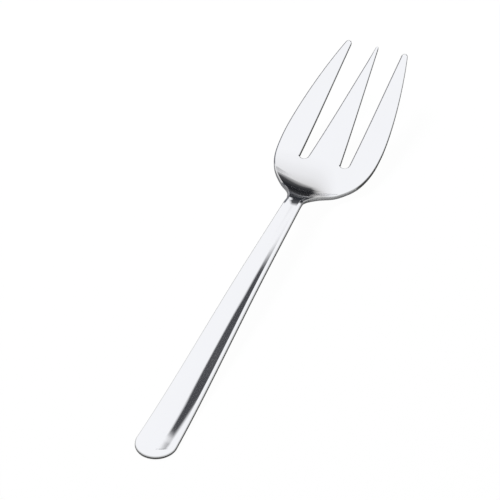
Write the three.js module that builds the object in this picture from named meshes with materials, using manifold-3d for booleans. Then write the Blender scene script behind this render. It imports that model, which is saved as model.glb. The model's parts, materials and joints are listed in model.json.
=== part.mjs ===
// Three-tine serving fork, blanked, pressed and polished in one piece from stainless steel sheet.
// Millimetres, +Z up, +Y from the handle to the tips, +X to the right.
// The origin lies under the middle of the fork, on the table that handle and heel rest on.

import * as THREE from 'three';
import { mergeVertices } from 'three/addons/utils/BufferGeometryUtils.js';
import Module from 'manifold-3d';

// Plan view
const LENGTH = 210; // end of the handle to the tips
const HANDLE_WIDTH = 14.2; // at the round end, where the handle is widest
const HANDLE_END_ROUND = 7.6; // length of the round end
const HEAD_LENGTH = 76.9; // neck to tips
const NECK_WIDTH = 6; // the narrowest place
const FLARE_LENGTH = 11; // hollow fillet from the neck into the shoulders
const FLARE_WIDTH = 16; // across the shoulders where that fillet ends
const FLARE_ANGLE = 42.5; // between shoulder edge and centre line there, degrees
const HEAD_WIDTH = 35.1; // at the widest place
const WIDEST_FROM_TIPS = 42.1;
const TIP_SPREAD = 22.2; // across the two outer tips
const TIP_ANGLE = 14.8; // how far the outer edges lean in at the tips, degrees

// Fullness of the edge curves, as shares of the stretch that each one spans
const NECK_PULL = 0.1;
const FLARE_PULL = 0.285;
const SHOULDER_PULL = 0.32;
const WIDEST_PULL_BACK = 0.575;
const WIDEST_PULL_ON = 0.17;
const TIP_PULL = 0.43;

// Tines and the slots between them
const TINE_LENGTH = 50.7; // bottom of the slots to the tips
const CENTRE_ROOT_WIDTH = 11.4; // centre tine at the bottom of the slots
const CENTRE_TIP_WIDTH = 0.8;
const OUTER_TIP_WIDTH = 2.1;
const SLOT_ROOT_WIDTH = 3.1; // the slots end in full rounds

// Side view, along the underside of the centre line
const REST_LENGTH = 10; // flat of the handle's end that lies on the table
const REST_RADIUS = 300; // bend that lifts the handle off the table
const MID_HANDLE_RISE = 3.5;
const MID_HANDLE_SLOPE = 4.6; // degrees, as are the other slopes
const CREST_BEFORE_NECK = 4; // where the handle starts to bend down to the head
const CREST_RISE = 6.65;
const CREST_SLOPE = 2.4;
const WALL_SHARE = 0.32; // steepest place of the wall behind the heel, as a share of neck to slot bottoms
const WALL_RISE = 2.1;
const WALL_SLOPE = -32.4;
const HEEL_SHARE = 0.55; // lowest place of the head, as a share of the same stretch
const HEEL_RADIUS = 18;
const HEEL_WEAR = 0.1; // depth of the flat that the heel rests on
const ROOT_RISE = 2.07; // at the bottom of the slots
const ROOT_SLOPE = 11.1;
const TIP_RISE = 14.1;
const TIP_SLOPE = 13.8;

// Sheet and its sections
const SHEET = 1.6;
const TIP_THICKNESS = 1.2;
const HANDLE_CROWN = 0.8; // bulge of the handle's top face near its end
const NECK_CROWN = 0.1;
const RIM_WIDTH = 1.3; // sloping border of the handle's top face
const RIM_DROP = 0.55;
const EDGE_WIDTH = 0.45; // eased top edge of the head
const EDGE_DROP = 0.35;
const DISH_DEPTH = 0.9; // hollow across the head
const DISH_SHARE = 0.5; // where the dish is deepest, as a share of neck to slot bottoms
const DISH_PAST_ROOT = 6; // the dish ends this far past the slot bottoms

// Fineness of the facets
const ACROSS = 10;
const STEPS = { end: 12, handle: 28, flare: 9, shoulder: 16, tine: 26, tip: 5 };
const ROUND_STEPS = 8;
const PUNCH_MARGIN = 3; // the slot punches reach this far past the sheet
const WELD = 0.002; // points closer than this are one point

// Places along the fork, from the end of the handle
const NECK_AT = LENGTH - HEAD_LENGTH;
const FLARE_AT = NECK_AT + FLARE_LENGTH;
const WIDEST_AT = LENGTH - WIDEST_FROM_TIPS;
const ROOT_AT = LENGTH - TINE_LENGTH;
const CREST_AT = NECK_AT - CREST_BEFORE_NECK;
const WALL_AT = NECK_AT + WALL_SHARE * (ROOT_AT - NECK_AT);
const HEEL_AT = NECK_AT + HEEL_SHARE * (ROOT_AT - NECK_AT);
const DISH_AT = NECK_AT + DISH_SHARE * (ROOT_AT - NECK_AT);

const { clamp, degToRad, lerp, smootherstep } = THREE.MathUtils;
const slopeOf = (degrees) => Math.tan(degToRad(degrees));

// A smooth curve through stations that each give a rise, a slope and a bend (one over the bend radius).
function smoothCurve(stations) {
  const pieces = stations.slice(1).map((next, i) => {
    const from = stations[i];
    const span = next.at - from.at;
    const c1 = from.slope * span;
    const c2 = (from.bend * span * span) / 2;
    const rise = next.rise - from.rise - c1 - c2;
    const turn = next.slope * span - c1 - 2 * c2;
    const bend = next.bend * span * span - 2 * c2;
    const c3 = 10 * rise - 4 * turn + bend / 2;
    const c4 = -15 * rise + 7 * turn - bend;
    const c5 = 6 * rise - 3 * turn + bend / 2;
    return { at: from.at, end: next.at, span, c: [from.rise, c1, c2, c3, c4, c5] };
  });
  const find = (y) => pieces.find((piece) => y <= piece.end) ?? pieces.at(-1);
  return {
    rise(y) {
      const piece = find(y);
      const t = (y - piece.at) / piece.span;
      return piece.c.reduceRight((sum, c) => sum * t + c, 0);
    },
    slope(y) {
      const piece = find(y);
      const t = (y - piece.at) / piece.span;
      return piece.c.reduce((sum, c, n) => sum + (n ? n * c * t ** (n - 1) : 0), 0) / piece.span;
    },
  };
}

const sideView = smoothCurve([
  { at: REST_LENGTH, rise: 0, slope: 0, bend: 1 / REST_RADIUS },
  { at: (REST_LENGTH + CREST_AT) / 2, rise: MID_HANDLE_RISE, slope: slopeOf(MID_HANDLE_SLOPE), bend: 0 },
  { at: CREST_AT, rise: CREST_RISE, slope: slopeOf(CREST_SLOPE), bend: 0 },
  { at: WALL_AT, rise: WALL_RISE, slope: slopeOf(WALL_SLOPE), bend: 0 },
  { at: HEEL_AT, rise: -HEEL_WEAR, slope: 0, bend: 1 / HEEL_RADIUS },
  { at: ROOT_AT, rise: ROOT_RISE, slope: slopeOf(ROOT_SLOPE), bend: 0 },
  { at: LENGTH, rise: TIP_RISE, slope: slopeOf(TIP_SLOPE), bend: 0 },
]);
const centreRise = (y) => (y <= REST_LENGTH ? 0 : sideView.rise(y));
const centreSlope = (y) => (y <= REST_LENGTH ? 0 : sideView.slope(y));

// Hollow of the head, at its edges, and bulge of the handle, on its centre line
function dishAt(y) {
  const onset = smootherstep(y, NECK_AT, DISH_AT);
  const fade = smootherstep(y, DISH_AT, ROOT_AT + DISH_PAST_ROOT);
  return DISH_DEPTH * onset * (1 - fade);
}

function crownAt(y) {
  const along = clamp((y - HANDLE_END_ROUND) / (CREST_AT - HANDLE_END_ROUND), 0, 1);
  const fade = 1 - smootherstep(y, CREST_AT, FLARE_AT);
  const beforeRound = clamp((HANDLE_END_ROUND - y) / (HANDLE_END_ROUND - RIM_WIDTH), 0, 1);
  return lerp(HANDLE_CROWN, NECK_CROWN, along) * fade * (1 - beforeRound ** 2);
}

// Sheet thickness as measured straight up, so that it is right square to the sloping sheet
function thicknessAt(y) {
  const toTips = clamp((y - ROOT_AT) / TINE_LENGTH, 0, 1);
  return lerp(SHEET, TIP_THICKNESS, toTips) * Math.hypot(1, centreSlope(y));
}

// The handle has a sloping rim, which narrows to an eased edge round the head
const headShare = (y) => smootherstep(y, CREST_AT, FLARE_AT);
const rimWidthAt = (y) => lerp(RIM_WIDTH, EDGE_WIDTH, headShare(y));
const rimDropAt = (y) => lerp(RIM_DROP, EDGE_DROP, headShare(y));

// Right-hand edge of the blank before the slots are punched, from the end of the handle to the right tip
function edgeCurves() {
  const point = (x, y) => new THREE.Vector2(x, y);
  const flare = slopeOf(FLARE_ANGLE);
  const lean = degToRad(TIP_ANGLE);
  const tipRadius = OUTER_TIP_WIDTH / 2;
  const tipCentre = point(TIP_SPREAD / 2 - tipRadius, LENGTH - tipRadius);

  const endAt = point(HANDLE_WIDTH / 2, HANDLE_END_ROUND);
  const neck = point(NECK_WIDTH / 2, NECK_AT);
  const shoulder = point(FLARE_WIDTH / 2, FLARE_AT);
  const widest = point(HEAD_WIDTH / 2, WIDEST_AT);
  const tip = point(Math.cos(lean), Math.sin(lean)).multiplyScalar(tipRadius).add(tipCentre);

  const pulled = (from, distance, slope) => point(from.x + slope * distance, from.y + distance);
  const shoulderSpan = WIDEST_AT - FLARE_AT;
  const tineSpan = tip.y - WIDEST_AT;
  const bezier = (...points) => new THREE.CubicBezierCurve(...points);
  return [
    [new THREE.EllipseCurve(0, endAt.y, endAt.x, endAt.y, -Math.PI / 2, 0), STEPS.end],
    [new THREE.LineCurve(endAt, neck), STEPS.handle],
    [
      bezier(
        neck,
        pulled(neck, NECK_PULL * FLARE_LENGTH, 0),
        pulled(shoulder, -FLARE_PULL * FLARE_LENGTH, flare),
        shoulder,
      ),
      STEPS.flare,
    ],
    [
      bezier(
        shoulder,
        pulled(shoulder, SHOULDER_PULL * shoulderSpan, flare),
        pulled(widest, -WIDEST_PULL_BACK * shoulderSpan, 0),
        widest,
      ),
      STEPS.shoulder,
    ],
    [
      bezier(
        widest,
        pulled(widest, WIDEST_PULL_ON * tineSpan, 0),
        pulled(tip, -TIP_PULL * tineSpan, -Math.tan(lean)),
        tip,
      ),
      STEPS.tine,
    ],
    [new THREE.EllipseCurve(tipCentre.x, tipCentre.y, tipRadius, tipRadius, lean, Math.PI / 2), STEPS.tip],
  ];
}

// Points along that edge, each with its outward normal
function edgeStations() {
  return edgeCurves().flatMap(([curve, steps], n) => {
    const stations = [];
    for (let i = n ? 1 : 0; i <= steps; i++) {
      const tangent = curve.getTangent(i / steps);
      stations.push({ at: curve.getPoint(i / steps), out: new THREE.Vector2(tangent.y, -tangent.x) });
    }
    return stations;
  });
}

// One closed ring round the sheet: top face from left to right, right edge, underside back, left edge
function sectionRing({ at, out }) {
  const rim = rimWidthAt(at.y);
  const inner = out.clone().multiplyScalar(-rim).add(at);
  const shares = Array.from({ length: ACROSS + 1 }, (_, i) => (2 * i) / ACROSS - 1);

  const undersideAt = (y, share) => centreRise(y) + dishAt(y) * share ** 2;
  const top = shares.map((share) => {
    const crown = crownAt(inner.y) * (1 - share ** 2);
    const z = undersideAt(inner.y, share) + thicknessAt(inner.y) + crown;
    return new THREE.Vector3(inner.x * share, inner.y, z);
  });
  const under = shares.map((share) => {
    return new THREE.Vector3(at.x * share, at.y, Math.max(0, undersideAt(at.y, share)));
  });
  const wallTop = undersideAt(at.y, 1) + thicknessAt(at.y) - rimDropAt(at.y);
  const wall = (side) => new THREE.Vector3(side * at.x, at.y, wallTop);
  return [...top, wall(1), ...under.reverse(), wall(-1)];
}

// The pressed sheet without its slots: rings joined along the fork, with a flat face across the tips
function pressedBlank() {
  const rings = edgeStations().map(sectionRing);
  const count = rings[0].length;
  const triangles = [];
  for (let r = 0; r + 1 < rings.length; r++) {
    for (let i = 0; i < count; i++) {
      const a = r * count + i;
      const b = r * count + ((i + 1) % count);
      triangles.push([a, b, b + count], [a, b + count, a + count]);
    }
  }
  const last = (rings.length - 1) * count;
  const under = (i) => last + 2 * ACROSS + 2 - i;
  for (let i = 0; i < ACROSS; i++) {
    triangles.push([last + i, last + i + 1, under(i + 1)], [last + i, under(i + 1), under(i)]);
  }
  triangles.push([last + ACROSS, last + ACROSS + 1, under(ACROSS)], [last + count - 1, last, under(0)]);
  const geometry = new THREE.BufferGeometry().setFromPoints(rings.flat());
  geometry.setIndex(triangles.flat());
  return geometry;
}

// Punch for one slot, side 1 for the right one and -1 for the left one; it also rounds the tips beside it
function slotPunch(side) {
  const centreRadius = CENTRE_TIP_WIDTH / 2;
  const outerRadius = OUTER_TIP_WIDTH / 2;
  const rootRadius = SLOT_ROOT_WIDTH / 2;
  const outerTipX = TIP_SPREAD / 2 - outerRadius;
  const rootX = CENTRE_ROOT_WIDTH / 2 + rootRadius;
  const beyond = LENGTH + PUNCH_MARGIN;

  const shape = new THREE.Shape();
  shape.moveTo(0, beyond);
  shape.absarc(0, LENGTH - centreRadius, centreRadius, Math.PI / 2, 0, true);
  shape.absarc(rootX, ROOT_AT + rootRadius, rootRadius, Math.PI, 2 * Math.PI, false);
  shape.absarc(outerTipX, LENGTH - outerRadius, outerRadius, Math.PI, Math.PI / 2, true);
  shape.lineTo(outerTipX, beyond);

  const depth = TIP_RISE + SHEET + DISH_DEPTH + 2 * PUNCH_MARGIN;
  const geometry = new THREE.ExtrudeGeometry(shape, { depth, bevelEnabled: false, curveSegments: ROUND_STEPS });
  geometry.translate(0, 0, -PUNCH_MARGIN);
  return side > 0 ? geometry : geometry.rotateY(Math.PI).translate(0, 0, depth - 2 * PUNCH_MARGIN);
}

const wasm = await Module();
wasm.setup();

// A solid for joining and cutting, from a closed geometry
function solidOf(geometry) {
  geometry.deleteAttribute('normal');
  geometry.deleteAttribute('uv');
  const merged = mergeVertices(geometry, WELD);
  const index = Array.from(merged.index.array);
  const faces = [];
  for (let i = 0; i < index.length; i += 3) {
    const face = index.slice(i, i + 3);
    if (new Set(face).size === 3) faces.push(...face);
  }
  const vertProperties = new Float32Array(merged.attributes.position.array);
  return new wasm.Manifold(new wasm.Mesh({ numProp: 3, vertProperties, triVerts: new Uint32Array(faces) }));
}

function geometryOf(solid) {
  const mesh = solid.getMesh();
  const geometry = new THREE.BufferGeometry();
  geometry.setAttribute('position', new THREE.BufferAttribute(mesh.vertProperties, 3));
  geometry.setIndex(new THREE.BufferAttribute(mesh.triVerts, 1));
  geometry.computeVertexNormals();
  return geometry;
}

// The fork: one piece of polished steel
function servingFork() {
  const punched = solidOf(pressedBlank()).subtract(solidOf(slotPunch(1))).subtract(solidOf(slotPunch(-1)));
  const polishedSteel = new THREE.MeshStandardMaterial({ color: 0xe6e7ea, metalness: 1, roughness: 0.15 });
  const fork = new THREE.Mesh(geometryOf(punched), polishedSteel);
  fork.name = 'serving_fork';
  fork.position.y = -LENGTH / 2;
  return fork;
}

const model = new THREE.Group();
model.add(servingFork());

export default model;
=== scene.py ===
"""Three-tine serving fork of polished stainless steel sheet, in a plain white studio.

Sizes of the fork are in millimetres, with y from the end of the handle, and become metres in its mesh.
"""

from __future__ import annotations

import json
import logging
import math
from dataclasses import dataclass, field
from enum import Enum
from typing import Any, Union

import bmesh
import bpy
import numpy as np
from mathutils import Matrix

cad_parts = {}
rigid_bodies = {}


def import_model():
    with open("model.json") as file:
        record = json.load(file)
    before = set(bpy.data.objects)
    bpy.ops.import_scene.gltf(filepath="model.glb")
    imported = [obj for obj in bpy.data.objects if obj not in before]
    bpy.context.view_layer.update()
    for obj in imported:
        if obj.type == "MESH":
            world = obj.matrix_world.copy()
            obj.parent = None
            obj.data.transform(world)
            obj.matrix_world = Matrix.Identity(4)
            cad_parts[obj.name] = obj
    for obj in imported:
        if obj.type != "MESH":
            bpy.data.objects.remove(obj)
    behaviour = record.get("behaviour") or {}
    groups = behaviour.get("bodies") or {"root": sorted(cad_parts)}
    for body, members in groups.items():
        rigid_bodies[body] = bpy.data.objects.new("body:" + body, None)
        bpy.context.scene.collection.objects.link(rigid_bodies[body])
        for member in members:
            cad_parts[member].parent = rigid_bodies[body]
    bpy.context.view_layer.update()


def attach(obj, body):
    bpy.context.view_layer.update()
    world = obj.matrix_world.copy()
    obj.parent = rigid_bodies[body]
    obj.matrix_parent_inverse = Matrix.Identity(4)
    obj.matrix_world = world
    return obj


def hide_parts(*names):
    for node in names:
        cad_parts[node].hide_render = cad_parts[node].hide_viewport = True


log = logging.getLogger("serving_fork")

MM = 0.001

WHITE = (1.0, 1.0, 1.0, 1.0)

Spot = tuple[float, float]
Outline = tuple[Spot, ...]
Colour = tuple[float, float, float]
Node = tuple[float, float, float, float]
Value = Union["Sock", float]


def clamp(value: float, low: float = 0.0, high: float = 1.0) -> float:
    """Hold a value between two limits."""
    return max(low, min(high, value))


def lerp(start: float, end: float, share: float) -> float:
    """Go from start to end by a share."""
    return start + (end - start) * share


def ease(value: float, start: float, end: float) -> float:
    """Rise from 0 to 1 between two places, with no kink in slope or bend."""
    t = clamp((value - start) / (end - start))
    return t * t * t * (t * (6 * t - 15) + 10)


def soft_min(first: float, second: float, softness: float) -> float:
    """Take the smaller of two values, or a little less where they differ by no more than about the softness."""
    return min(first, second) - softness * math.log1p(math.exp(-abs(first - second) / softness))


def slope_of(degrees: float) -> float:
    """Turn an angle into a slope."""
    return math.tan(math.radians(degrees))


def put_in_scene(name: str, data: bpy.types.ID) -> bpy.types.Object:
    """Make an object and put it in the scene.

    Args:
        name: Name of the object.
        data: Its mesh, lamp or lens.

    Returns:
        The object.
    """
    thing = bpy.data.objects.new(name, data)
    bpy.context.scene.collection.objects.link(thing)
    return thing


@dataclass(frozen=True)
class Station:
    """A place that the side view passes through, with its slope and its bend (one over the radius)."""

    at: float
    rise: float
    slope: float
    bend: float = 0.0


@dataclass(frozen=True)
class SmoothCurve:
    """A curve through stations that has no kink in slope or bend."""

    stations: tuple[Station, ...]

    def _piece(self, y: float) -> tuple[float, float, list[float]]:
        """Find the stretch that holds y.

        Args:
            y: Place along the fork.

        Returns:
            Share of the stretch at y, length of the stretch, and its power terms.
        """
        pairs = list(zip(self.stations, self.stations[1:]))
        start, end = next((pair for pair in pairs if y <= pair[1].at), pairs[-1])
        span = end.at - start.at
        c1 = start.slope * span
        c2 = start.bend * span * span / 2
        rise = end.rise - start.rise - c1 - c2
        turn = end.slope * span - c1 - 2 * c2
        bend = end.bend * span * span - 2 * c2
        c3 = 10 * rise - 4 * turn + bend / 2
        c4 = -15 * rise + 7 * turn - bend
        c5 = 6 * rise - 3 * turn + bend / 2
        return (y - start.at) / span, span, [start.rise, c1, c2, c3, c4, c5]

    def rise(self, y: float) -> float:
        """Find the height, flat before the first station.

        Args:
            y: Place along the fork.

        Returns:
            The height at y.
        """
        if y <= self.stations[0].at:
            return self.stations[0].rise
        t, _, terms = self._piece(y)
        return sum(term * t**n for n, term in enumerate(terms))

    def slope(self, y: float) -> float:
        """Find the slope, flat before the first station.

        Args:
            y: Place along the fork.

        Returns:
            The slope at y.
        """
        if y <= self.stations[0].at:
            return 0.0
        t, span, terms = self._piece(y)
        return sum(n * term * t ** (n - 1) for n, term in enumerate(terms) if n) / span


@dataclass(frozen=True)
class EdgePoint:
    """A point of the sheet's cut edge seen from above, with the direction that leaves the sheet there."""

    x: float
    y: float
    out_x: float
    out_y: float

    def inset(self, by: float) -> Spot:
        """Give the point that lies a distance inside the edge."""
        return self.x - by * self.out_x, self.y - by * self.out_y

    @classmethod
    def on_round(cls, x: float, y: float, radius: float, turn: float) -> EdgePoint:
        """Give the edge of a round end with its centre at x and y, at an angle from +X."""
        out = (math.cos(turn), math.sin(turn))
        return cls(x + radius * out[0], y + radius * out[1], *out)


class Stretch(Enum):
    """Stretches of the outer edge, in order from the end of the handle to a tip."""

    ROUND_END = 0
    HANDLE = 1
    FLARE = 2
    SHOULDER = 3
    TINE = 4
    TIP = 5


@dataclass(frozen=True)
class PlanView:
    """Outline of the fork from above, right half."""

    length: float = 210.0
    handle_width: float = 14.2
    handle_end_round: float = 7.6
    head_length: float = 76.9
    neck_width: float = 6.0
    flare_length: float = 11.0
    flare_width: float = 16.0
    flare_angle: float = 42.5
    head_width: float = 35.1
    widest_from_tips: float = 42.1
    tip_spread: float = 22.2
    tip_angle: float = 14.8
    neck_pull: float = 0.1
    flare_pull: float = 0.285
    shoulder_pull: float = 0.32
    widest_pull_back: float = 0.575
    widest_pull_on: float = 0.17
    tip_pull: float = 0.43
    tine_length: float = 50.7
    centre_root_width: float = 11.4
    centre_tip_width: float = 0.8
    outer_tip_width: float = 2.1
    slot_root_width: float = 3.1

    @property
    def neck_at(self) -> float:
        """Give the place of the neck."""
        return self.length - self.head_length

    @property
    def flare_at(self) -> float:
        """Give the place where the flare of the neck ends."""
        return self.neck_at + self.flare_length

    @property
    def root_at(self) -> float:
        """Give the place of the slot bottoms."""
        return self.length - self.tine_length

    @property
    def slot_radius(self) -> float:
        """Give the radius of a slot's round bottom."""
        return self.slot_root_width / 2

    @property
    def slot_centre(self) -> Spot:
        """Give the centre of the right slot's round bottom."""
        return self.centre_root_width / 2 + self.slot_radius, self.root_at + self.slot_radius

    @property
    def outer_tip(self) -> tuple[float, float, float]:
        """Give the centre and the radius of the right tip."""
        radius = self.outer_tip_width / 2
        return self.tip_spread / 2 - radius, self.length - radius, radius

    @property
    def centre_tip(self) -> tuple[float, float, float]:
        """Give the centre and the radius of the centre tine's tip."""
        radius = self.centre_tip_width / 2
        return 0.0, self.length - radius, radius

    def _curve(self, stretch: Stretch) -> list[Spot]:
        """Give the four control points of one curved stretch.

        Args:
            stretch: FLARE, SHOULDER or TINE.

        Returns:
            Control points of a cubic curve.
        """
        flare = slope_of(self.flare_angle)
        lean = math.radians(self.tip_angle)
        tip_x, tip_y, radius = self.outer_tip
        neck = (self.neck_width / 2, self.neck_at)
        shoulder = (self.flare_width / 2, self.flare_at)
        widest = (self.head_width / 2, self.length - self.widest_from_tips)
        tip = (tip_x + radius * math.cos(lean), tip_y + radius * math.sin(lean))

        def pulled(point: Spot, by: float, slope: float) -> Spot:
            """Move along an edge of a given slope."""
            return point[0] + slope * by, point[1] + by

        if stretch is Stretch.FLARE:
            start = pulled(neck, self.neck_pull * self.flare_length, 0.0)
            end = pulled(shoulder, -self.flare_pull * self.flare_length, flare)
            return [neck, start, end, shoulder]
        if stretch is Stretch.SHOULDER:
            span = widest[1] - shoulder[1]
            start = pulled(shoulder, self.shoulder_pull * span, flare)
            end = pulled(widest, -self.widest_pull_back * span, 0.0)
            return [shoulder, start, end, widest]
        span = tip[1] - widest[1]
        start = pulled(widest, self.widest_pull_on * span, 0.0)
        end = pulled(tip, -self.tip_pull * span, -math.tan(lean))
        return [widest, start, end, tip]

    def outer_edge(self, place: float) -> EdgePoint:
        """Give a point of the outer edge.

        Args:
            place: Number of the stretch plus the share of it, from 0 at the end of the handle to 6 at the tip.

        Returns:
            The edge there.
        """
        stretch = Stretch(min(int(place), Stretch.TIP.value))
        t = place - stretch.value
        half = self.handle_width / 2
        if stretch is Stretch.ROUND_END:
            turn = t * math.pi / 2
            reach = self.handle_end_round
            out = (reach * math.sin(turn), -half * math.cos(turn))
            size = math.hypot(*out)
            return EdgePoint(half * math.sin(turn), reach * (1 - math.cos(turn)), out[0] / size, out[1] / size)
        if stretch is Stretch.TIP:
            return EdgePoint.on_round(*self.outer_tip, lerp(math.radians(self.tip_angle), math.pi / 2, t))
        if stretch is Stretch.HANDLE:
            ends = ((half, self.handle_end_round), (self.neck_width / 2, self.neck_at))
            along = (ends[1][0] - ends[0][0], ends[1][1] - ends[0][1])
            point = (lerp(ends[0][0], ends[1][0], t), lerp(ends[0][1], ends[1][1], t))
        else:
            a, b, c, d = (np.array(p) for p in self._curve(stretch))
            point = (1 - t) ** 3 * a + 3 * t * (1 - t) ** 2 * b + 3 * t * t * (1 - t) * c + t**3 * d
            along = (1 - t) ** 2 * (b - a) + 2 * t * (1 - t) * (c - b) + t * t * (d - c)
        size = math.hypot(along[0], along[1])
        return EdgePoint(float(point[0]), float(point[1]), float(along[1] / size), float(-along[0] / size))

    def slot_bottom(self, turn: float) -> EdgePoint:
        """Go round the bottom of the right slot.

        Args:
            turn: From -1 at its left end to 1 at its right end.

        Returns:
            The edge there.
        """
        angle = turn * math.pi / 2
        x, y = self.slot_centre
        out = (-math.sin(angle), math.cos(angle))
        return EdgePoint(x - self.slot_radius * out[0], y - self.slot_radius * out[1], *out)

    def centre_tine_edge(self, y: float) -> EdgePoint:
        """Find the right-hand side of the centre tine.

        Args:
            y: Place along the fork.

        Returns:
            The edge at y.
        """
        _, tip_y, radius = self.centre_tip
        root_y = self.slot_centre[1]
        x = lerp(self.centre_root_width / 2, radius, (y - root_y) / (tip_y - root_y))
        return EdgePoint(x, y, 1.0, 0.0)

    def outer_tine_inside(self, y: float) -> EdgePoint:
        """Find the side of the right tine that faces the slot.

        Args:
            y: Place along the fork.

        Returns:
            The edge at y.
        """
        tip_x, tip_y, radius = self.outer_tip
        x, root_y = self.slot_centre
        x = lerp(x + self.slot_radius, tip_x - radius, (y - root_y) / (tip_y - root_y))
        return EdgePoint(x, y, -1.0, 0.0)


@dataclass(frozen=True)
class PressedSheet:
    """Heights of the two faces of the sheet after pressing, and the form of its edges."""

    plan: PlanView
    rest_length: float = 10.0
    rest_radius: float = 300.0
    mid_handle_rise: float = 3.5
    mid_handle_slope: float = 4.6
    crest_before_neck: float = 4.0
    crest_rise: float = 6.65
    crest_slope: float = 2.4
    wall_share: float = 0.32
    wall_rise: float = 2.1
    wall_slope: float = -31.4
    heel_share: float = 0.55
    heel_radius: float = 18.0
    heel_wear: float = 0.1
    bowl_past_heel: float = 1.2
    bowl_rise: float = 0.03
    bowl_slope: float = 2.75
    bowl_radius: float = 40.0
    root_rise: float = 2.07
    root_slope: float = 11.1
    tip_rise: float = 14.1
    tip_slope: float = 13.8
    thickness: float = 1.6
    tip_thickness: float = 1.1
    handle_crown: float = 0.8
    neck_crown: float = 0.1
    end_lift: float = 0.1
    end_lift_length: float = 14.0
    rim_width: float = 1.0
    rim_slope: float = 0.48
    rim_round: float = 0.14
    edge_width: float = 0.45
    edge_slope: float = 0.58
    edge_round: float = 0.14
    dish_depth: float = 0.9
    dish_share: float = 0.5
    dish_past_root: float = 6.0
    lower_round: float = 0.2
    end_fall_from: float = 0.78
    end_softness: float = 0.01

    @property
    def crest_at(self) -> float:
        """Give the place where the handle starts to bend down."""
        return self.plan.neck_at - self.crest_before_neck

    def _between(self, share: float) -> float:
        """Give a place between the neck and the slot bottoms."""
        return lerp(self.plan.neck_at, self.plan.root_at, share)

    @property
    def side_view(self) -> SmoothCurve:
        """Draw the underside along the centre line.

        Returns:
            The side view.
        """
        mid = (self.rest_length + self.crest_at) / 2
        heel = self._between(self.heel_share)
        bowl = heel + self.bowl_past_heel
        bowl_rise = self.bowl_rise - self.heel_wear
        return SmoothCurve(
            (
                Station(self.rest_length, 0.0, 0.0, 1 / self.rest_radius),
                Station(mid, self.mid_handle_rise, slope_of(self.mid_handle_slope)),
                Station(self.crest_at, self.crest_rise, slope_of(self.crest_slope)),
                Station(self._between(self.wall_share), self.wall_rise, slope_of(self.wall_slope)),
                Station(heel, -self.heel_wear, 0.0, 1 / self.heel_radius),
                Station(bowl, bowl_rise, slope_of(self.bowl_slope), 1 / self.bowl_radius),
                Station(self.plan.root_at, self.root_rise, slope_of(self.root_slope)),
                Station(self.plan.length, self.tip_rise, slope_of(self.tip_slope)),
            )
        )

    def dish(self, y: float) -> float:
        """Hollow the head.

        Args:
            y: Place along the fork.

        Returns:
            How far its edges stand above its centre line.
        """
        deepest = self._between(self.dish_share)
        end = self.plan.root_at + self.dish_past_root
        return self.dish_depth * ease(y, self.plan.neck_at, deepest) * (1 - ease(y, deepest, end))

    def crown(self, y: float) -> float:
        """Crown the handle.

        Args:
            y: Place along the fork.

        Returns:
            How far its top face bulges on its centre line.
        """
        round_end = self.plan.handle_end_round
        along = min(1.0, (y - round_end) / (self.crest_at - round_end))
        lift = self.end_lift * clamp(1 - y / self.end_lift_length) ** 2
        return lerp(self.handle_crown, self.neck_crown, along) * (1 - self._on_head(y)) + lift

    def end_fall(self, x: float, y: float) -> float:
        """Bring the crown down towards the handle's round end.

        Args:
            x: Distance from the centre line.
            y: Place along the fork.

        Returns:
            0 at the border of the end, 1 where the crown starts to fall, more before that.
        """
        across = x / (self.plan.handle_width / 2 - self.rim_width)
        before = (self.plan.handle_end_round - y) / (self.plan.handle_end_round - self.rim_width)
        return (1 - math.hypot(across, max(0.0, before))) / (1 - self.end_fall_from)

    def sheet(self, y: float, slope: float) -> float:
        """Give the sheet's thickness straight up, where it has a slope."""
        to_tips = clamp((y - self.plan.root_at) / self.plan.tine_length)
        return lerp(self.thickness, self.tip_thickness, to_tips) * math.hypot(1, slope)

    def _on_head(self, y: float) -> float:
        """Rise from 0 on the handle to 1 on the head."""
        return ease(y, self.crest_at, self.plan.flare_at)

    def border(self, y: float) -> float:
        """Give the width of the rounded border of the top face."""
        return lerp(self.rim_width, self.edge_width, self._on_head(y))

    def bevel(self, y: float) -> float:
        """Give the slope of the bevel along the border."""
        return lerp(self.rim_slope, self.edge_slope, self._on_head(y))

    def bevel_round(self, y: float) -> float:
        """Give the radius of the round between the bevel and the cut edge."""
        return lerp(self.rim_round, self.edge_round, self._on_head(y))


class Sock:
    """An output of a shader node that can stand in sums."""

    def __init__(self, tree: ShaderTree, node: bpy.types.Node, output: Union[str, int]) -> None:
        """Keep what the sum needs.

        Args:
            tree: Nodes that this one stands among.
            node: The node.
            output: Which of its outputs is meant.
        """
        self.tree = tree
        self.node = node
        self.socket = node.outputs[output] if len(node.outputs) else None

    def other(self, output: Union[str, int]) -> Sock:
        """Give another output of the same node."""
        return Sock(self.tree, self.node, output)

    def _math(self, operation: str, first: Value, second: Value) -> Sock:
        """Add one Math node."""
        return self.tree.add("ShaderNodeMath", {"operation": operation}, {0: first, 1: second})

    def __add__(self, other: Value) -> Sock:
        """Add."""
        return self._math("ADD", self, other)

    def __radd__(self, other: Value) -> Sock:
        """Add to a number."""
        return self._math("ADD", other, self)

    def __sub__(self, other: Value) -> Sock:
        """Subtract."""
        return self._math("SUBTRACT", self, other)

    def __rsub__(self, other: Value) -> Sock:
        """Subtract from a number."""
        return self._math("SUBTRACT", other, self)

    def __mul__(self, other: Value) -> Sock:
        """Multiply."""
        return self._math("MULTIPLY", self, other)

    def __rmul__(self, other: Value) -> Sock:
        """Multiply a number."""
        return self._math("MULTIPLY", other, self)

    def at_least(self, other: Value) -> Sock:
        """Take the larger."""
        return self._math("MAXIMUM", self, other)


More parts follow.
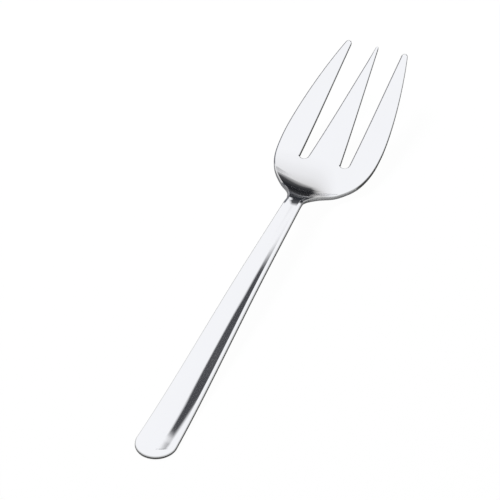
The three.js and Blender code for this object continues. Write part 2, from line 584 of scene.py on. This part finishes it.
class ShaderTree:
    """The nodes of one material or of the world."""

    def __init__(self, owner: Union[bpy.types.Material, bpy.types.World]) -> None:
        """Start with an empty tree.

        Args:
            owner: Material or world that gets the nodes.
        """
        owner.use_nodes = True
        self.tree = owner.node_tree
        self.tree.nodes.clear()

    def add(
        self,
        kind: str,
        settings: dict[str, Any] | None = None,
        inputs: dict[Union[str, int], Any] | None = None,
        output: Union[str, int] = 0,
    ) -> Sock:
        """Add one node.

        Args:
            kind: Blender's name of the node type.
            settings: Properties, set before the sockets; stops gives a ramp's places and colours.
            inputs: Values or links of the sockets.
            output: Which output is wanted.

        Returns:
            That output.
        """
        node = self.tree.nodes.new(kind)
        for name, value in (settings or {}).items():
            if name == "stops":
                self._set_stops(node.color_ramp, value)
            else:
                setattr(node, name, value)
        for name, value in (inputs or {}).items():
            if isinstance(value, Sock):
                self.tree.links.new(value.socket, node.inputs[name])
            else:
                node.inputs[name].default_value = value
        return Sock(self, node, output)

    @staticmethod
    def _set_stops(ramp: bpy.types.ColorRamp, stops: list[tuple[float, tuple[float, ...]]]) -> None:
        """Set a ramp's stops.

        Args:
            ramp: The ramp of a new node, which has two stops.
            stops: Place and colour of each stop, two or more.
        """
        while len(ramp.elements) < len(stops):
            ramp.elements.new(1.0)
        for element, (place, colour) in zip(ramp.elements, stops):
            element.position = place
            element.color = (*colour, 1.0)

    def mix_colours(self, factor: Value, first: Any, second: Any) -> Sock:
        """Blend two colours, through the sockets of the node's colour mode."""
        return self.add("ShaderNodeMix", {"data_type": "RGBA"}, {0: factor, 6: first, 7: second}, 2)


@dataclass(frozen=True)
class PolishedSteel:
    """Mirror polish with faint lengthwise lines, duller on the cut edge and hazier in the hollow of the head, with
    painted shade as a darker grey in the hollow and partly on the cut edge.

    Places of the hollow's zone of painted shade and hazier polish are in millimetres from the middle of the fork, and
    its marks are shares of its length.
    """

    colour: Colour = (0.913, 0.922, 0.956)
    smoky: Colour = (0.86, 0.865, 0.89)
    # Painted shade: the darker grey of the hollow of the head.
    painted_hollow_shade: Colour = (0.6, 0.595, 0.6)
    # Darker grey of the cut edge, partly its duller finish and partly painted shade.
    edge_shade_colour: Colour = (0.46, 0.465, 0.47)
    roughness: float = 0.035
    line_roughness: float = 0.02
    edge_roughness: float = 0.28
    satin_roughness: float = 0.12
    hollow_from: float = 33.0
    hollow_to: float = 56.0
    hollow_marks: Outline = (
        (0.0, 0.0), (0.09, 1.0), (0.44, 1.0), (0.52, 0.7), (0.57, 0.54), (0.65, 0.33), (0.83, 0.09), (1.0, 0.0),
    )
    hollow_left: float = 4.0
    hollow_fade: float = 0.0055
    line_scale: tuple[float, float, float] = (1500.0, 18.0, 1500.0)
    line_detail: float = 3.0
    line_smoke: float = 0.15
    line_height: float = 0.004
    line_strength: float = 0.1
    haze_scale: tuple[float, float, float] = (60.0, 25.0, 60.0)
    haze_detail: float = 2.0
    haze_smoke: float = 0.4
    haze_roughness: float = 0.02

    def material(self) -> bpy.types.Material:
        """Build the material.

        Returns:
            The finish of the fork.
        """
        material = bpy.data.materials.new("polished_steel")
        tree = ShaderTree(material)
        place = tree.add("ShaderNodeTexCoord", output="Object")
        cut = tree.add("ShaderNodeAttribute", {"attribute_name": "cut_edge"}, output="Fac")
        lines = self._noise(tree, place, self.line_scale, self.line_detail)
        haze = self._noise(tree, place, self.haze_scale, self.haze_detail)

        painted_hollow_shade = self._painted_shade_and_satin(tree, place)
        smoke = haze * self.haze_smoke + lines * self.line_smoke
        bright = tree.mix_colours(smoke, (*self.colour, 1), (*self.smoky, 1))
        # Painted shade: the hollow of the head turns a darker grey.
        body = tree.mix_colours(painted_hollow_shade, bright, (*self.painted_hollow_shade, 1))
        # Partly painted shade: the cut edge turns a darker grey, besides its duller finish.
        colour = tree.mix_colours(cut, body, (*self.edge_shade_colour, 1))
        polish = self.roughness + self.line_roughness * lines + self.haze_roughness * haze
        polish = polish + painted_hollow_shade * (1.0 - painted_hollow_shade) * self.satin_roughness
        roughness = polish + cut * (self.edge_roughness - polish)
        height = {"Strength": self.line_strength, "Distance": self.line_height * MM, "Height": lines}
        bump = tree.add("ShaderNodeBump", None, height)
        steel = tree.add(
            "ShaderNodeBsdfPrincipled",
            None,
            {"Base Color": colour, "Metallic": 1.0, "Roughness": roughness, "Normal": bump},
        )
        tree.add("ShaderNodeOutputMaterial", None, {"Surface": steel})
        return material

    def _painted_shade_and_satin(self, tree: ShaderTree, place: Sock) -> Sock:
        """Mark the hollow of the head, where shade is painted in as a darker grey and the polish turns hazier.

        Args:
            tree: Nodes of the material.
            place: Position on the fork.

        Returns:
            1 at the foot of the wall, falling to 0 on the handle, on the tines and to the right.
        """
        parts = tree.add("ShaderNodeSeparateXYZ", None, {0: place}, "X")
        right = (parts * (1 / MM) + self.hollow_left).at_least(0.0)
        along = parts.other("Y") * (1 / MM) + right * right * right * self.hollow_fade
        share = tree.add("ShaderNodeMapRange", None, {0: along, 1: self.hollow_from, 2: self.hollow_to})
        stops = [(at, (mark,) * 3) for at, mark in self.hollow_marks]
        return tree.add("ShaderNodeValToRGB", {"stops": stops}, {0: share})

    @staticmethod
    def _noise(tree: ShaderTree, place: Sock, scale: tuple[float, float, float], detail: float) -> Sock:
        """Add a noise of about 0 to 1, with so many spots per metre along each axis."""
        mapped = tree.add("ShaderNodeMapping", None, {"Vector": place, "Scale": scale})
        return tree.add("ShaderNodeTexNoise", None, {"Vector": mapped, "Scale": 1.0, "Detail": detail}, "Fac")


@dataclass
class ServingFork:
    """The fork: one pressed sheet with three tines.

    Rows, columns and steps say how fine its mesh is. The shares of the duller, shaded edge say where a border
    turns from polish to cut edge, whose darker grey is partly painted shade.
    """

    plan: PlanView = field(default_factory=PlanView)
    finish: PolishedSteel = field(default_factory=PolishedSteel)
    end_rows: int = 26
    handle_step: float = 0.7
    neck_step: float = 0.25
    bowl_step: float = 0.4
    tine_step: float = 0.6
    tip_rows: int = 6
    centre_columns: int = 10
    slot_columns: int = 16
    outer_columns: int = 10
    border_steps: int = 5
    lower_steps: int = 5
    crease: float = 22.0
    morph_length: float = 6.0
    fine_from: float = 126.0
    fine_to: float = 153.0
    weld: float = 0.0005
    outline_samples: int = 6001
    slope_probe: float = 0.05
    least_break: float = 0.1
    shade_and_dull_from: float = 0.7
    shade_and_dull_before_edge: float = 0.3
    lower_shade_and_dull_to: float = 0.2
    tine_border_share: float = 0.42
    narrow_half: float = 1.0

    def __post_init__(self) -> None:
        """Work out what the rows need: the sheet, its side view and a table of the outline."""
        self.sheet = PressedSheet(self.plan)
        self.side = self.sheet.side_view
        self.places = np.linspace(0.0, len(Stretch), self.outline_samples)
        edges = [self.plan.outer_edge(place) for place in self.places]
        inner = [edge.inset(self.sheet.border(edge.y)) for edge in edges]
        self.edge_x, self.edge_y = np.array([(edge.x, edge.y) for edge in edges]).T
        self.inner_x, self.inner_y = np.array(inner).T
        self.nodes: list[Node] = []
        self.faces: list[tuple[int, ...]] = []

    def under_at(self, x: float, y: float) -> float:
        """Find the underside, which never goes below the table.

        Args:
            x: Distance from the centre line.
            y: Place along the fork.

        Returns:
            Its height.
        """
        half = float(np.interp(y, self.edge_y, self.edge_x))
        share = clamp(x / half) if half > 0 else 0.0
        return max(0.0, self.side.rise(y) + self.sheet.dish(y) * share**2)

    def top_at(self, x: float, y: float) -> float:
        """Find the top face.

        Args:
            x: Distance from the centre line.
            y: Place along the fork.

        Returns:
            Its height.
        """
        inner = float(np.interp(max(y, self.plan.handle_end_round), self.inner_y, self.inner_x))
        share = clamp(x / inner)
        bulge = self.sheet.crown(y) * soft_min(1 - share**2, self.sheet.end_fall(x, y), self.sheet.end_softness)
        hollow = self.sheet.dish(y) * share**2
        return self.side.rise(y) + hollow + bulge + self.sheet.sheet(y, self.side.slope(y))

    def edge_over(self, edge: EdgePoint, width: float, under: Spot) -> list[Node]:
        """Go over one edge of the sheet, from the top face down to the underside.

        Args:
            edge: The cut edge seen from above.
            width: Width of the rounded border of the top face.
            under: Where the underside ends, seen from above.

        Returns:
            Nodes from the border of the top face to the border of the underside.
        """
        start_z = self.top_at(*edge.inset(width))
        slope = (self.top_at(*edge.inset(width + self.slope_probe)) - start_z) / self.slope_probe
        slope = max(self.sheet.bevel(edge.y), slope + self.least_break)
        radius = min(self.sheet.bevel_round(edge.y), width / 2)
        shade_and_dull_from = self.shade_and_dull_from * (width - radius)
        nodes = []
        for out in (0.0, shade_and_dull_from / 2, shade_and_dull_from):
            nodes.append((*edge.inset(width - out), start_z - slope * out, 0.0))
        for i in range(self.border_steps + 1):
            turn = i / self.border_steps * math.pi / 2
            out = width - radius + radius * math.sin(turn)
            z = start_z - slope * out - radius * (1 - math.cos(turn))
            shade_and_dull = ease(out, shade_and_dull_from, width - self.shade_and_dull_before_edge * radius)
            nodes.append((*edge.inset(width - out), z, shade_and_dull))
        foot = self.under_at(edge.x, edge.y)
        round_top = foot + self.sheet.lower_round
        nodes.append((edge.x, edge.y, (nodes[-1][2] + round_top) / 2, 1.0))
        for i in range(self.lower_steps + 1):
            turn = i / self.lower_steps * math.pi / 2
            x = lerp(edge.x, under[0], 1 - math.cos(turn))
            y = lerp(edge.y, under[1], 1 - math.cos(turn))
            z = lerp(round_top, self.under_at(*under), math.sin(turn))
            nodes.append((x, y, z, 1 - ease(i / self.lower_steps, self.lower_shade_and_dull_to, 1.0)))
        return nodes

    def top_node(self, x: float, y: float) -> Node:
        """Make a node of the top face."""
        return x, y, self.top_at(x, y), 0.0

    def under_node(self, x: float, y: float) -> Node:
        """Make a node of the underside."""
        return x, y, self.under_at(x, y), 0.0

    def morph(self, y: float) -> float:
        """Rise from 0 to 1 along the stretch where rows take the form of the slot bottom."""
        end = self.plan.slot_centre[1]
        return clamp((y - (end - self.morph_length)) / self.morph_length)

    def columns(self, half: float, y: float, radius: float, root_half: float) -> list[Spot]:
        """Spread one row of nodes from the centre line to the border.

        Args:
            half: Distance of the border from the centre line.
            y: Place of the row.
            radius: Radius that the row takes round the bottom of the slot.
            root_half: Distance of the border at the slot bottom's centre.

        Returns:
            Places seen from above.
        """
        slot_x = self.plan.slot_centre[0]
        left = (slot_x - radius) / root_half * half
        right = (slot_x + radius) / root_half * half
        share = self.morph(y)
        row = [(left * i / self.centre_columns, y) for i in range(self.centre_columns)]
        for i in range(self.slot_columns + 1):
            even = 2 * i / self.slot_columns - 1
            x = (left + right) / 2 + (right - left) / 2 * lerp(even, math.sin(even * math.pi / 2), share)
            row.append((x, y - share * radius * math.cos(even * math.pi / 2)))
        row += [(lerp(right, half, i / self.outer_columns), y) for i in range(1, self.outer_columns + 1)]
        return row

    def place_of(self, y: float) -> float:
        """Find the place on the outer edge whose inner border lies at y."""
        return float(np.interp(y, self.inner_y, self.places))

    def under_border(self, edge: EdgePoint, y: float) -> Spot:
        """Give where the underside ends beside an outer edge, in line with the row past the slot bottoms."""
        x, own = edge.inset(self.sheet.lower_round)
        return x, lerp(own, y, self.morph(y))

    def half_section(self, place: float) -> list[Node]:
        """Cut the right half of the fork before the slots.

        Args:
            place: Place on the outer edge.

        Returns:
            Nodes from the centre of the top face round to the centre of the underside.
        """
        edge = self.plan.outer_edge(place)
        width = self.sheet.border(edge.y)
        half, y = edge.inset(width)
        under = self.under_border(edge, y)
        root = self.plan.outer_edge(self.place_of(self.plan.slot_centre[1]))
        root_half = root.inset(self.sheet.border(root.y))[0]
        root_under = root.inset(self.sheet.lower_round)[0]
        slot = self.plan.slot_radius
        top = [self.top_node(*spot) for spot in self.columns(half, y, slot + self.slot_border(), root_half)]
        low = [self.under_node(*spot) for spot in self.columns(*under, slot + self.sheet.lower_round, root_under)]
        return top + self.edge_over(edge, width, under)[1:-1] + low[::-1]

    def slot_border(self) -> float:
        """Give the border's width round the slot bottoms."""
        return self.sheet.border(self.plan.root_at)

    def tine_border(self, breadth: float) -> float:
        """Give a border's width along a tine of some breadth."""
        return min(self.slot_border(), self.tine_border_share * breadth)

    def loft(self, rows: list[list[Node]], closed: bool) -> None:
        """Join rows of nodes by faces.

        Args:
            rows: Rows with the same number of nodes.
            closed: Whether each row is a ring.
        """
        count = len(rows[0])
        start = len(self.nodes)
        for row in rows:
            self.nodes += row
        for r in range(len(rows) - 1):
            for i in range(count if closed else count - 1):
                a = start + r * count + i
                b = start + r * count + (i + 1) % count
                self.faces.append((a, b, b + count, a + count))

    def build_body(self) -> None:
        """Lay the rows from the end of the handle to the slot bottoms."""
        end = self.plan.slot_centre[1]
        first = self.plan.handle_end_round
        stops = ((first, self.fine_from, self.handle_step), (self.fine_from, self.fine_to, self.neck_step))
        ys: list[float] = []
        for start, stop, step in (*stops, (self.fine_to, end, self.bowl_step)):
            count = round((stop - start) / step)
            ys += [lerp(start, stop, i / count) for i in range(1, count + 1)]
        places = [i / self.end_rows for i in range(self.end_rows + 1)] + [self.place_of(y) for y in ys]
        self.loft([self.half_section(place) for place in places], closed=False)

    def build_slot_bottom(self) -> None:
        """Lay the cut edge round the bottom of the right slot."""
        rows = []
        for i in range(self.slot_columns + 1):
            edge = self.plan.slot_bottom(2 * i / self.slot_columns - 1)
            rows.append(self.edge_over(edge, self.slot_border(), edge.inset(self.sheet.lower_round)))
        self.loft(rows, closed=False)

    def tine_rows(self) -> list[float]:
        """Spread the rows along the tines.

        Returns:
            Their places along the fork.
        """
        start = self.plan.slot_centre[1]
        end = self.plan.outer_tip[1] - self.weld
        count = round((end - start) / self.tine_step)
        return [lerp(start, end, i / count) for i in range(count + 1)]

    def centre_section(self, edge: EdgePoint, width: float) -> list[Node]:
        """Cut the right half of the centre tine.

        Args:
            edge: Its side.
            width: Width of its border.

        Returns:
            Nodes from the centre of its top face round to the centre of its underside.
        """
        half, y = edge.inset(width)
        under = edge.inset(self.sheet.lower_round * min(1.0, edge.x / self.narrow_half))
        shares = [i / self.centre_columns for i in range(self.centre_columns + 1)]
        top = [self.top_node(half * share, y) for share in shares]
        low = [self.under_node(under[0] * share, under[1]) for share in shares]
        return top + self.edge_over(edge, width, under)[1:-1] + low[::-1]

    def build_centre_tine(self) -> None:
        """Lay the rows of the centre tine and its round tip."""
        rows = []
        for y in self.tine_rows():
            edge = self.plan.centre_tine_edge(y)
            rows.append(self.centre_section(edge, self.tine_border(edge.x)))
        tip = self.plan.centre_tip
        for i in range(self.tip_rows + 1):
            edge = EdgePoint.on_round(*tip, i / self.tip_rows * math.pi / 2)
            rows.append(self.centre_section(edge, self.tine_border(tip[2])))
        self.loft(rows, closed=False)

    def outer_section(self, inside: EdgePoint, outside: EdgePoint, width: float, flat: bool) -> list[Node]:
        """Cut the right tine.

        Args:
            inside: Its edge on the slot's side.
            outside: Its outer edge.
            width: Width of the border on the slot's side.
            flat: Whether the underside ends in line with the row.

        Returns:
            A ring of nodes.
        """
        outer_width = self.sheet.border(outside.y)
        left, right = inside.inset(width), outside.inset(outer_width)
        low_left, low_right = (edge.inset(self.sheet.lower_round) for edge in (inside, outside))
        if flat:
            low_right = (low_right[0], right[1])
        shares = [i / self.outer_columns for i in range(self.outer_columns + 1)]

        def across(start: Spot, end: Spot) -> list[Spot]:
            """Spread nodes between two borders."""
            return [(lerp(start[0], end[0], share), lerp(start[1], end[1], share)) for share in shares]

        top = [self.top_node(*spot) for spot in across(left, right)]
        low = [self.under_node(*spot) for spot in across(low_left, low_right)]
        over_right = self.edge_over(outside, outer_width, low_right)[1:-1]
        over_left = self.edge_over(inside, width, low_left)[1:-1]
        return top + over_right + low[::-1] + over_left[::-1]

    def build_outer_tine(self) -> None:
        """Lay the rows of the right tine and its round tip."""
        rows = []
        for y in self.tine_rows():
            outside = self.plan.outer_edge(self.place_of(y))
            rows.append(self.outer_section(self.plan.outer_tine_inside(y), outside, self.slot_border(), True))
        for i in range(self.tip_rows + 1):
            share = i / self.tip_rows
            inside = EdgePoint.on_round(*self.plan.outer_tip, math.pi - share * math.pi / 2)
            outside = self.plan.outer_edge(Stretch.TIP.value + share)
            rows.append(self.outer_section(inside, outside, self.slot_border(), False))
        self.loft(rows, closed=True)

    def mesh(self) -> bpy.types.Mesh:
        """Join both halves into one closed mesh in metres.

        Returns:
            The mesh, with the attribute cut_edge on its points.
        """
        shape = bmesh.new()
        cut_edge = shape.verts.layers.float.new("cut_edge")
        middle = self.plan.length / 2
        for side in (1, -1):
            points = []
            for x, y, z, cut in self.nodes:
                point = shape.verts.new((side * x * MM, (y - middle) * MM, z * MM))
                point[cut_edge] = cut
                points.append(point)
            for face in self.faces:
                shape.faces.new([points[i] for i in (face if side > 0 else face[::-1])])
        bmesh.ops.remove_doubles(shape, verts=shape.verts[:], dist=self.weld * MM)
        bmesh.ops.recalc_face_normals(shape, faces=shape.faces[:])
        if shape.calc_volume(signed=True) < 0:
            bmesh.ops.reverse_faces(shape, faces=shape.faces[:])
        for face in shape.faces:
            face.smooth = True
        for edge in shape.edges:
            edge.smooth = edge.calc_face_angle(0.0) < math.radians(self.crease)
        open_edges = sum(not edge.is_manifold for edge in shape.edges)
        log.info("fork mesh: %d faces, %d open edges", len(shape.faces), open_edges)
        mesh = bpy.data.meshes.new("polished_fork")
        shape.to_mesh(mesh)
        shape.free()
        return mesh

    def build(self) -> bpy.types.Object:
        """Make the fork and dress it.

        Returns:
            The fork's object, riding on the frame.
        """
        self.build_body()
        self.build_slot_bottom()
        self.build_centre_tine()
        self.build_outer_tine()
        fork = put_in_scene("polished_fork", self.mesh())
        fork.data.materials.append(self.finish.material())
        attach(fork, "root")
        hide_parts("serving_fork")
        return fork


class CardPose(Enum):
    """How a card is set up: standing past the tips, standing on the left, or lying a little above the floor."""

    AHEAD = "ahead"
    LEFT = "left"
    LYING = "lying"


class CardTone(Enum):
    """How dark a card is."""

    SOOT = (0.03, 0.032, 0.037)
    CHARCOAL = (0.07, 0.071, 0.077)
    UMBER = (0.1, 0.1, 0.095)
    SLATE = (0.2, 0.21, 0.23)
    ASH = (0.25, 0.25, 0.26)
    GREY = (0.36, 0.36, 0.37)


@dataclass(frozen=True)
class DarkCard:
    """A dark card with soft borders that only the polish of the fork sees, in millimetres.

    The layers run outwards, each with its shade and its outline. The outlines of a standing card give places
    along it and up. Those of a lying card give places along X and Y.
    """

    name: str
    pose: CardPose
    away: float
    tone: CardTone
    layers: tuple[tuple[float, Outline], ...]

    def _place(self, along: float, up: float) -> tuple[float, ...]:
        """Turn a place on the card into a place in the studio.

        Args:
            along: First number of a place in an outline.
            up: Second number of that place.

        Returns:
            The place in metres.
        """
        places = {
            CardPose.AHEAD: (along, self.away, up),
            CardPose.LEFT: (-self.away, along, up),
            CardPose.LYING: (along, up, self.away),
        }
        return tuple(value * MM for value in places[self.pose])

    def mesh(self) -> bpy.types.Mesh:
        """Fill the innermost outline and join each outline to the next.

        Returns:
            The mesh, with the attribute shade on its points.
        """
        count = len(self.layers[0][1])
        points = [self._place(*spot) for _, outline in self.layers for spot in outline]
        faces = [tuple(range(count))]
        for first in range(0, len(points) - count, count):
            for i in range(count):
                j = (i + 1) % count
                faces.append((first + i, first + j, first + count + j, first + count + i))
        mesh = bpy.data.meshes.new(self.name)
        mesh.from_pydata(points, [], faces)
        shade = mesh.attributes.new("shade", "FLOAT", "POINT")
        shade.data.foreach_set("value", [depth for depth, outline in self.layers for _ in outline])
        return mesh

    def material(self) -> bpy.types.Material:
        """Make the card dark where its shade is 1 and clear where it is 0.

        Returns:
            The material.
        """
        material = bpy.data.materials.new(self.name)
        tree = ShaderTree(material)
        shade = tree.add("ShaderNodeAttribute", {"attribute_name": "shade"}, output="Fac")
        clear = tree.add("ShaderNodeBsdfTransparent")
        dark = tree.add("ShaderNodeEmission", None, {"Color": (*self.tone.value, 1), "Strength": 1.0})
        surface = tree.add("ShaderNodeMixShader", None, {0: shade, 1: clear, 2: dark})
        tree.add("ShaderNodeOutputMaterial", None, {"Surface": surface})
        return material

    def build(self) -> bpy.types.Object:
        """Set up the card.

        Returns:
            The card's object, which isn't part of the fork.
        """
        card = put_in_scene(self.name, self.mesh())
        card.data.materials.append(self.material())
        for ray in ("camera", "diffuse", "transmission", "volume_scatter", "shadow"):
            setattr(card, f"visible_{ray}", False)
        return card


@dataclass(frozen=True)
class Studio:
    """White floor and surroundings, one soft lamp at the back on the left, and the dark cards."""

    floor_size: float = 12.0
    floor_grey: float = 0.95
    glow_share: float = 0.98
    mirrored_glow: float = 0.1
    sky_on_floor: float = 0.15
    lamp_at: tuple[float, float, float] = (-0.7, 0.55, 0.85)
    lamp_size: float = 0.4
    lamp_power: float = 23.0
    cards: tuple[DarkCard, ...] = (
        DarkCard("low_card", CardPose.AHEAD, 500, CardTone.SOOT, (
            (1, ((-225, 0.5), (-40, 0.5), (-40, 130), (-100, 130), (-135, 130), (-145, 130), (-147, 120), (-148, 110),
                 (-150, 100), (-225, 85))),
            (0.975, ((-228, 0.5), (-37, 0.5), (-37, 225), (-100, 230), (-140, 240), (-156, 240), (-154, 200),
                     (-151, 170), (-153, 102), (-228, 87))),
            (0.93, ((-232, 0.5), (-34, 0.5), (-34, 350), (-100, 375), (-150, 395), (-176, 400), (-176, 270),
                    (-155, 210), (-156, 106), (-232, 90))),
            (0.65, ((-245, 0.5), (-28, 0.5), (-28, 385), (-95, 420), (-155, 435), (-185, 435), (-184, 260),
                    (-161, 212), (-161, 110), (-240, 95))),
            (0.4, ((-250, 0.5), (-24, 0.5), (-24, 440), (-90, 485), (-165, 485), (-191, 455), (-190, 250),
                   (-167, 214), (-167, 116), (-248, 102))),
            (0, ((-265, 0.5), (-18, 0.5), (-18, 470), (-85, 512), (-180, 515), (-215, 475), (-213, 235), (-178, 217),
                 (-178, 126), (-263, 113))),
        )),
        DarkCard("low_right_card", CardPose.AHEAD, 500, CardTone.SOOT, (
            (1, ((34, 0.5), (190, 0.5), (190, 210), (90, 270), (34, 300))),
            (0.5, ((27, 0.5), (210, 0.5), (215, 240), (105, 300), (27, 345))),
            (0, ((18, 0.5), (240, 0.5), (240, 270), (130, 330), (18, 420))),
        )),
        DarkCard("handle_card", CardPose.AHEAD, 600, CardTone.CHARCOAL, (
            (1, ((-100, 698), (-100, 785), (-125, 820), (-140, 838), (-148, 880), (160, 880), (160, 840), (50, 800),
                 (15, 765), (-35, 698))),
            (0.5, ((-118, 673), (-120, 775), (-140, 812), (-152, 835), (-160, 885), (175, 885), (175, 830), (62, 790),
                   (32, 750), (-12, 673))),
            (0, ((-140, 655), (-150, 760), (-165, 800), (-172, 830), (-180, 900), (200, 900), (200, 820), (80, 780),
                 (60, 740), (10, 655))),
        )),
        DarkCard("left_card", CardPose.LEFT, 50, CardTone.ASH, (
            (1, ((78.5, 16), (83, 8), (142, 8), (142, 36), (95, 36), (77.5, 30))),
            (0.5, ((76.5, 14.5), (81, 5.5), (147, 5.5), (147, 50), (100, 50), (76.5, 33))),
            (0, ((74.5, 13), (79, 3), (152, 3), (152, 62), (105, 62), (75.5, 36))),
        )),
        DarkCard("shoulder_card", CardPose.LEFT, 30, CardTone.SLATE, (
            (1, ((47, 6), (66, 6), (66.5, 29), (64.5, 29), (61, 25.5), (57.5, 19.5), (54.5, 12.5), (50.5, 10.5),
                 (46.5, 10.5))),
            (0, ((45, 3), (70, 3), (70.5, 34), (64, 32.5), (59, 27.5), (55.5, 20.5), (53.5, 13.5), (49.5, 12),
                 (44.5, 11.5))),
        )),
        # Painted shade: a dark sheet just above the floor beside the handle's right side and its end, where the
        # fork's shadow lies, which only the polish mirrors.
        DarkCard("handle_floor_shade_card", CardPose.LYING, 0.4, CardTone.UMBER, (
            (1, ((-30, -170), (200, -170), (200, 33.5), (-6, 33.5), (-2, -95), (-30, -100))),
            (0, ((-50, -190), (220, -190), (220, 36.5), (-10, 36.5), (-4, -92), (-50, -98))),
        )),
        # Painted shade beside the head: a dark sheet just above the floor right of the head and on past the tips,
        # which only the polish mirrors.
        DarkCard("tine_floor_card", CardPose.LYING, 0.4, CardTone.UMBER, (
            (1, ((-7, 49), (200, 49), (200, 500), (-200, 500), (-30, 80), (-8.5, 60))),
            (0, ((-10, 46), (220, 46), (220, 520), (-220, 520), (-40, 75), (-12, 60))),
        )),
        DarkCard("far_floor_card", CardPose.LYING, 0.5, CardTone.SOOT, (
            (1, ((-250, 110), (60, 110), (60, 490), (-250, 490))),
            (0, ((-260, 100), (70, 100), (70, 500), (-260, 500))),
        )),
        DarkCard("grey_floor_card", CardPose.LYING, 0.3, CardTone.GREY, (
            (1, ((-350, -10), (0, -10), (0, 500), (-350, 500))),
            (0, ((-400, -40), (20, -40), (20, 550), (-400, 550))),
        )),
    )

    @staticmethod
    def _rays(tree: ShaderTree) -> tuple[Sock, Sock]:
        """Give 1 for the camera's own rays, else 0, and 1 for rays off or through a surface, else 0."""
        path = tree.add("ShaderNodeLightPath", output="Is Camera Ray")
        return path, path.other("Is Glossy Ray").at_least(path.other("Is Transmission Ray"))

    def build_world(self) -> bpy.types.World:
        """Make the white surroundings.

        Returns:
            The world.
        """
        world = bpy.data.worlds.new("white_studio")
        bpy.context.scene.world = world
        tree = ShaderTree(world)
        camera, mirror = self._rays(tree)
        strength = self.sky_on_floor + camera.at_least(mirror) * (1 - self.sky_on_floor)
        sky = tree.add("ShaderNodeBackground", None, {"Color": WHITE, "Strength": strength})
        tree.add("ShaderNodeOutputWorld", None, {"Surface": sky})
        return world

    def build_floor(self) -> bpy.types.Object:
        """Make the pale floor, which keeps part of the fork's shadow.

        Returns:
            The floor.
        """
        half = self.floor_size / 2
        mesh = bpy.data.meshes.new("floor")
        mesh.from_pydata([(-half, -half, 0), (half, -half, 0), (half, half, 0), (-half, half, 0)], [], [(0, 1, 2, 3)])
        floor = put_in_scene("floor", mesh)
        material = bpy.data.materials.new("white_floor")
        tree = ShaderTree(material)
        grey = (self.floor_grey, self.floor_grey, self.floor_grey, 1)
        lit = tree.add("ShaderNodeBsdfDiffuse", None, {"Color": grey})
        white = tree.add("ShaderNodeEmission", None, {"Color": WHITE, "Strength": 1.0})
        camera, mirror = self._rays(tree)
        glow = (camera * self.glow_share).at_least(mirror * self.mirrored_glow)
        surface = tree.add("ShaderNodeMixShader", None, {0: glow, 1: lit, 2: white})
        tree.add("ShaderNodeOutputMaterial", None, {"Surface": surface})
        mesh.materials.append(material)
        return floor

    def build_lamp(self) -> bpy.types.Object:
        """Make the soft lamp, which faces the fork.

        Returns:
            The lamp.
        """
        light = bpy.data.lights.new("soft_lamp", "AREA")
        light.size = self.lamp_size
        light.energy = self.lamp_power
        lamp = put_in_scene("soft_lamp", light)
        lamp.location = self.lamp_at
        x, y, z = self.lamp_at
        lamp.rotation_euler = (math.atan2(math.hypot(x, y), z), 0.0, math.atan2(x, -y))
        lamp.visible_glossy = False
        return lamp


@dataclass(frozen=True)
class PhotoCamera:
    """A long lens that looks down on the fork from its handle's side."""

    azimuth: float = 21.284
    elevation: float = 39.748
    distance: float = 7.386
    target: Spot = (-0.007739, 0.0071)
    lens: float = 1600.0
    sensor: float = 36.0
    far: float = 100.0

    def build(self) -> bpy.types.Object:
        """Make the camera and look through it.

        Returns:
            The camera.
        """
        turn, tilt = math.radians(self.azimuth), math.radians(self.elevation)
        flat = self.distance * math.cos(tilt)
        lens = bpy.data.cameras.new("photo_camera")
        lens.lens = self.lens
        lens.sensor_width = self.sensor
        lens.clip_end = self.far
        camera = put_in_scene("photo_camera", lens)
        camera.location = (
            self.target[0] + flat * math.sin(turn),
            self.target[1] - flat * math.cos(turn),
            self.distance * math.sin(tilt),
        )
        camera.rotation_euler = (math.pi / 2 - tilt, 0.0, turn)
        bpy.context.scene.camera = camera
        return camera


def main() -> None:
    """Build the fork and its studio in order, and log what was made."""
    logging.basicConfig(level=logging.INFO, format="%(name)s: %(message)s")
    for thing in list(bpy.data.objects):
        bpy.data.objects.remove(thing)
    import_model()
    bpy.context.scene.view_settings.view_transform = "Standard"

    camera = PhotoCamera().build()
    log.info("%s at %s", camera.name, tuple(round(value, 3) for value in camera.location))
    studio = Studio()
    log.info("%s, %s and %s", studio.build_world().name, studio.build_floor().name, studio.build_lamp().name)
    for card in studio.cards:
        log.info("%s set up", card.build().name)
    fork = ServingFork().build()
    log.info("%s made, %d points", fork.name, len(fork.data.vertices))


if __name__ == "__main__":
    main()
